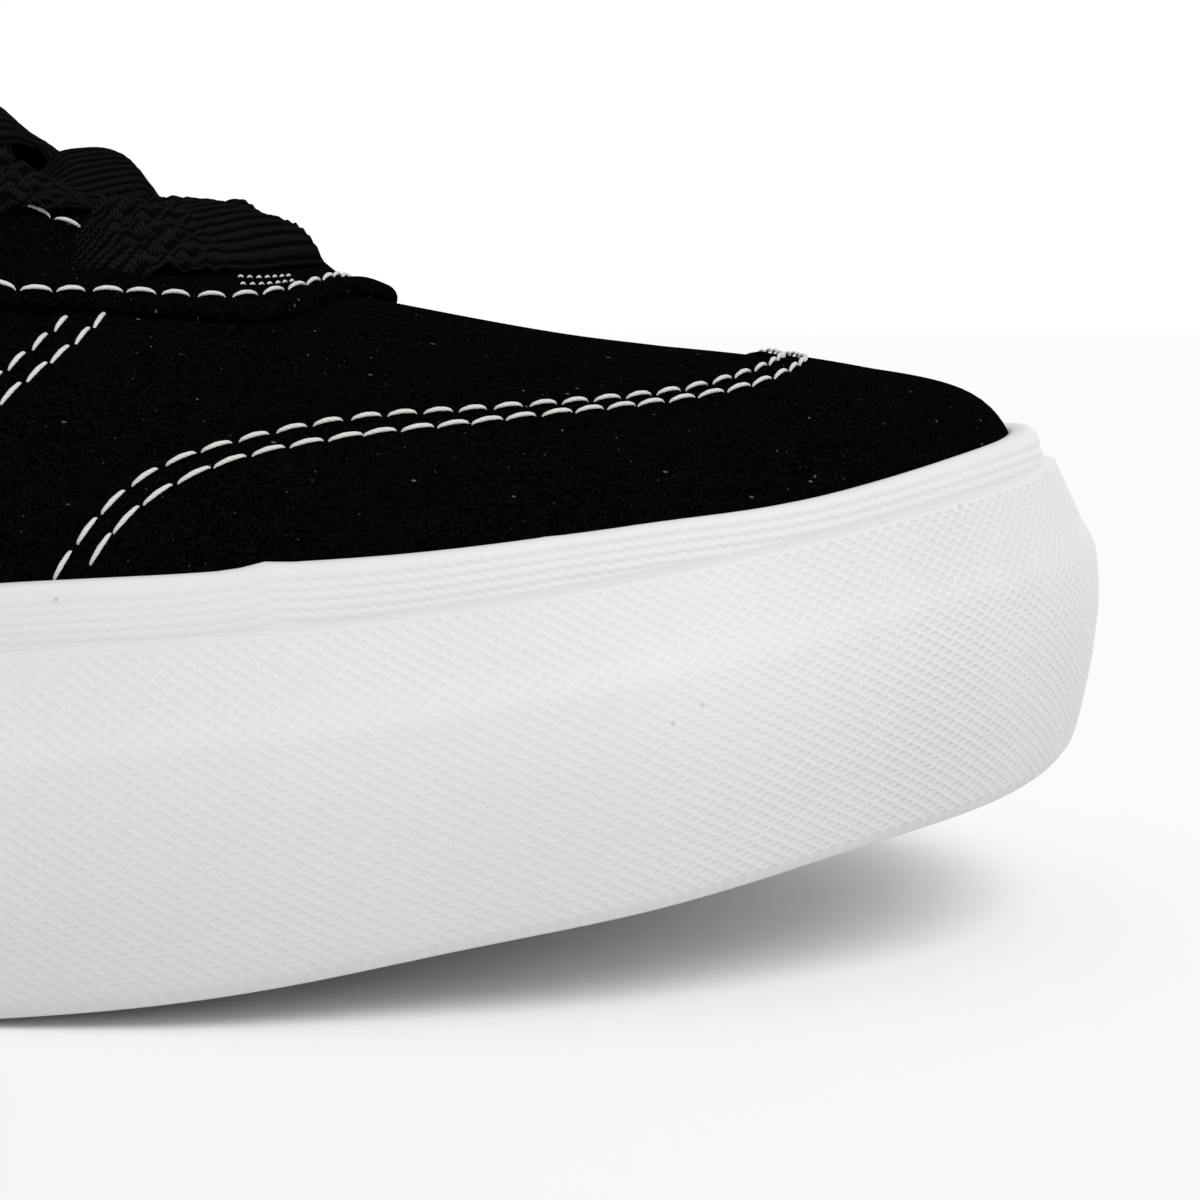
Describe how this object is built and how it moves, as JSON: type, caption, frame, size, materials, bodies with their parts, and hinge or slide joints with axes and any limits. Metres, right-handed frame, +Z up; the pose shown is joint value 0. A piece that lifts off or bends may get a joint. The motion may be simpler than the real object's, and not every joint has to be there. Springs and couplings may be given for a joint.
{
  "type": "low skate sneaker",
  "caption": "Right-foot low skate sneaker: hollow black suede upper with eyestay, padded tongue and flat laces on a white rubber cup sole with raised toe.",
  "frame": {"origin": "middle of the shoe's box, on the floor it stands on", "axes": "+X to the toe, +Z up, the outer side of the right foot at -Y"},
  "size_m": [0.292, 0.1102, 0.1145],
  "materials": {
    "rubber": "matte white sole rubber",
    "suede": "black napped suede",
    "lining": "black padded cloth",
    "lace": "black flat woven lace",
    "thread": "warm white sewing thread"
  },
  "bodies": {
    "root": {"outsole": "rubber", "sole_wall": "rubber", "toe_strip": "rubber", "insole": "lining", "upper": "suede", "eyestay": "suede", "tongue": "lining", "lace_bar": "lace", "lace_cross_1": "lace", "lace_cross_2": "lace", "lace_cross_3": "lace", "lace_cross_4": "lace", "lace_cross_5": "lace"}
  },
  "joints": []
}
